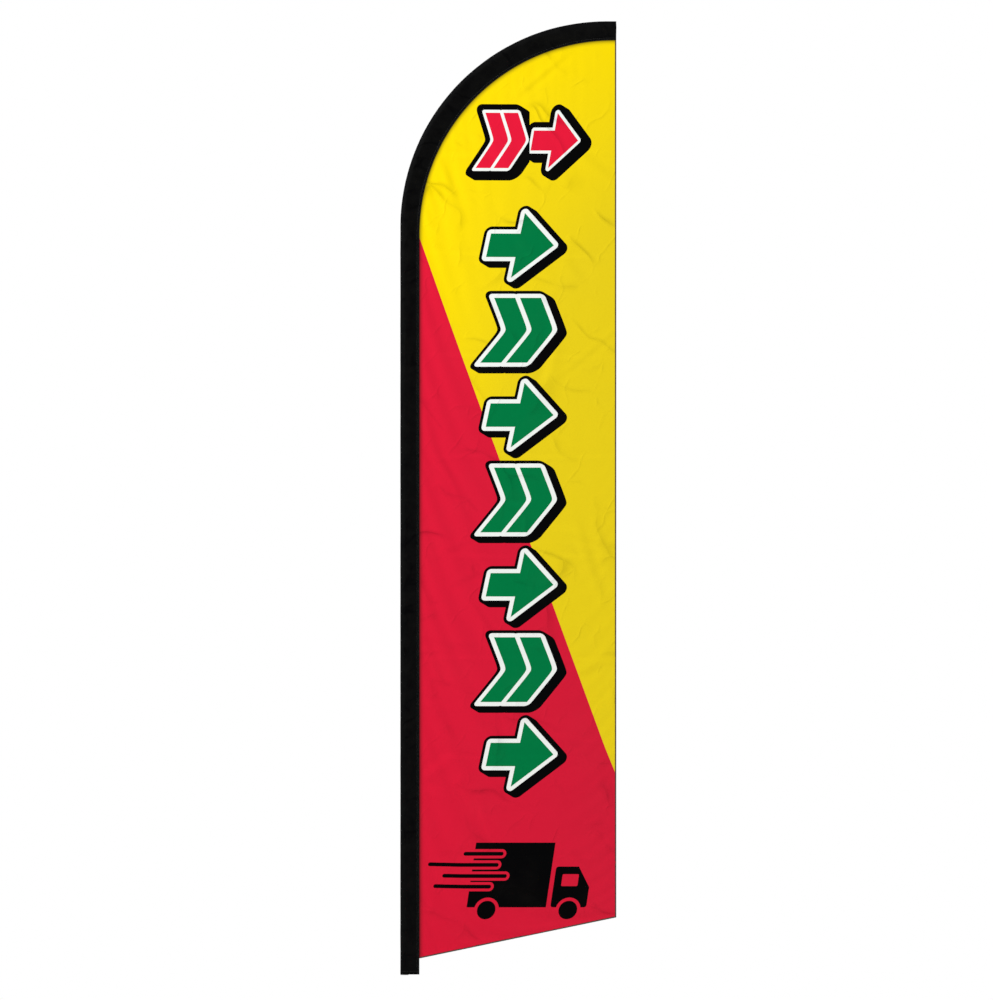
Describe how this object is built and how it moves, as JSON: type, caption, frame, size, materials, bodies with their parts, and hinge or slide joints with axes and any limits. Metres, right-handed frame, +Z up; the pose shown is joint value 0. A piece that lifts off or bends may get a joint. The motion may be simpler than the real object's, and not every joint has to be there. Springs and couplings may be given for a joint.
{
  "type": "feather flag with pole",
  "caption": "Tall printed cloth flag with a black sleeve over a jointed pole that bends over at the top and turns on a foot spindle.",
  "frame": {"origin": "on the pole's axis, at the face of the spindle that sits on a base", "axes": "+Z up the pole, +X from the pole towards the flag's trailing edge, +Y away from the side that the flag is seen from"},
  "size_m": [0.794, 0.0329, 3.507],
  "materials": {
    "steel": "satin",
    "spring_steel": "satin",
    "nylon": "matte",
    "pole_aluminium": "satin",
    "fibreglass": "gloss",
    "cap_rubber": "matte",
    "sleeve_cloth": "matte",
    "printed_cloth": "matte",
    "edge_thread": "matte",
    "nickel": "polished"
  },
  "bodies": {
    "spindle": {"spindle": "steel", "thrust_washer": "nylon", "retaining_washer": "steel", "retaining_ring": "spring_steel"},
    "rotor": {"rotor_sleeve": "nylon"},
    "pole": {"bottom_tube": "pole_aluminium", "middle_tube": "pole_aluminium", "tip_ferrule": "pole_aluminium", "tip_rod": "fibreglass", "tip_cap": "cap_rubber", "lower_button_spring": "spring_steel", "upper_button_spring": "spring_steel", "anchor_button_spring": "spring_steel", "pole_sleeve": "sleeve_cloth", "sleeve_bend": "sleeve_cloth", "sleeve_end_patch": "sleeve_cloth", "grommet_eyelet": "nickel", "grommet_washer": "nickel", "flag_panel": "printed_cloth", "trailing_overlock": "edge_thread", "bottom_overlock": "edge_thread"},
    "lower_button": {"lower_button": "steel"},
    "upper_button": {"upper_button": "steel"},
    "anchor_button": {"anchor_button": "steel"}
  },
  "joints": [
    {"name": "swivel", "type": "hinge", "parent": "spindle", "child": "rotor", "pos_m": [0, 0, 0], "axis": [0, 0, 1], "continuous": true},
    {"name": "pole_lift", "type": "slide", "parent": "rotor", "child": "pole", "axis": [0, 0, 1], "range_m": [0, 0.14]},
    {"name": "lower_press", "type": "slide", "parent": "pole", "child": "lower_button", "axis": [-1, 0, 0], "range_m": [0, 0.0041], "stiffness_N_per_m": 1000, "springref_m": -0.008, "deforming": ["lower_button_spring"]},
    {"name": "upper_press", "type": "slide", "parent": "pole", "child": "upper_button", "axis": [-1, 0, 0], "range_m": [0, 0.0041], "stiffness_N_per_m": 1000, "springref_m": -0.008, "deforming": ["upper_button_spring"]},
    {"name": "anchor_press", "type": "slide", "parent": "pole", "child": "anchor_button", "axis": [0.4226, -0.9063, 0], "range_m": [0, 0.0035], "stiffness_N_per_m": 1000, "springref_m": -0.008, "deforming": ["anchor_button_spring"]}
  ]
}
